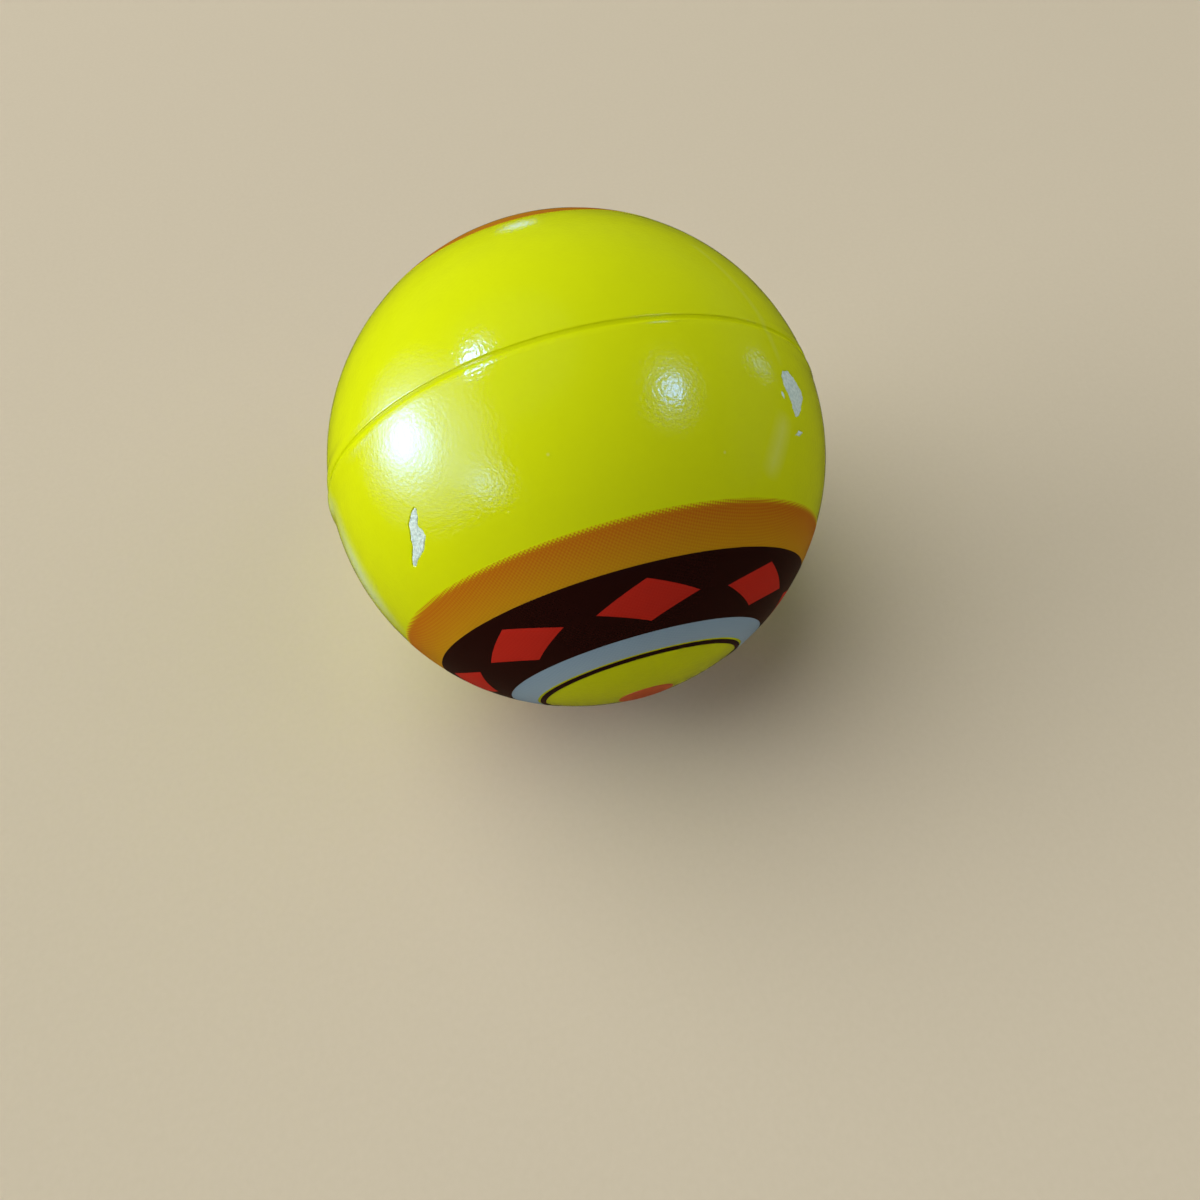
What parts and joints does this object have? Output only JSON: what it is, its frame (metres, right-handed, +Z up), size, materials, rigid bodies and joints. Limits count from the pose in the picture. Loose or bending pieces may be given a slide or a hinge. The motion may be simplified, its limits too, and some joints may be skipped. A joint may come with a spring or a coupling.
{
  "type": "stress ball",
  "caption": "Round foam stress ball with a gloss yellow coat, a raised parting seam and ring prints on both halves; it squeezes and springs back.",
  "frame": {"origin": "middle of the flat that the ball rests on", "axes": "+Z up from the table, +Y towards the rear half; the mould axis lies in the YZ plane and leans up 13.7 degrees towards +Y"},
  "size_m": [0.0636, 0.0631, 0.0628],
  "materials": {
    "coat": "gloss",
    "foam": "matte",
    "orange_ink": "gloss",
    "black_ink": "gloss",
    "red_ink": "gloss",
    "pale_ink": "gloss",
    "coral_ink": "gloss"
  },
  "bodies": {
    "front_half": {"front_coat": "coat", "foam_core": "foam", "front_halo": "orange_ink", "front_band": "black_ink", "front_diamonds": "red_ink", "front_pale_ring": "pale_ink", "front_line": "black_ink", "front_dot": "coral_ink"},
    "rear_half": {"rear_coat": "coat", "rear_halo": "orange_ink", "rear_band": "black_ink", "rear_diamonds": "red_ink", "rear_pale_ring": "pale_ink", "rear_line": "black_ink", "rear_dot": "coral_ink"}
  },
  "joints": [
    {"name": "squeeze", "type": "slide", "parent": "front_half", "child": "rear_half", "axis": [0, -1, 0], "range_m": [0, 0.02], "stiffness_N_per_m": 1500, "deforming": ["foam_core", "front_coat", "rear_coat", "front_halo", "front_band", "front_diamonds", "front_pale_ring", "front_line", "front_dot", "rear_halo", "rear_band", "rear_diamonds", "rear_pale_ring", "rear_line", "rear_dot"]}
  ]
}
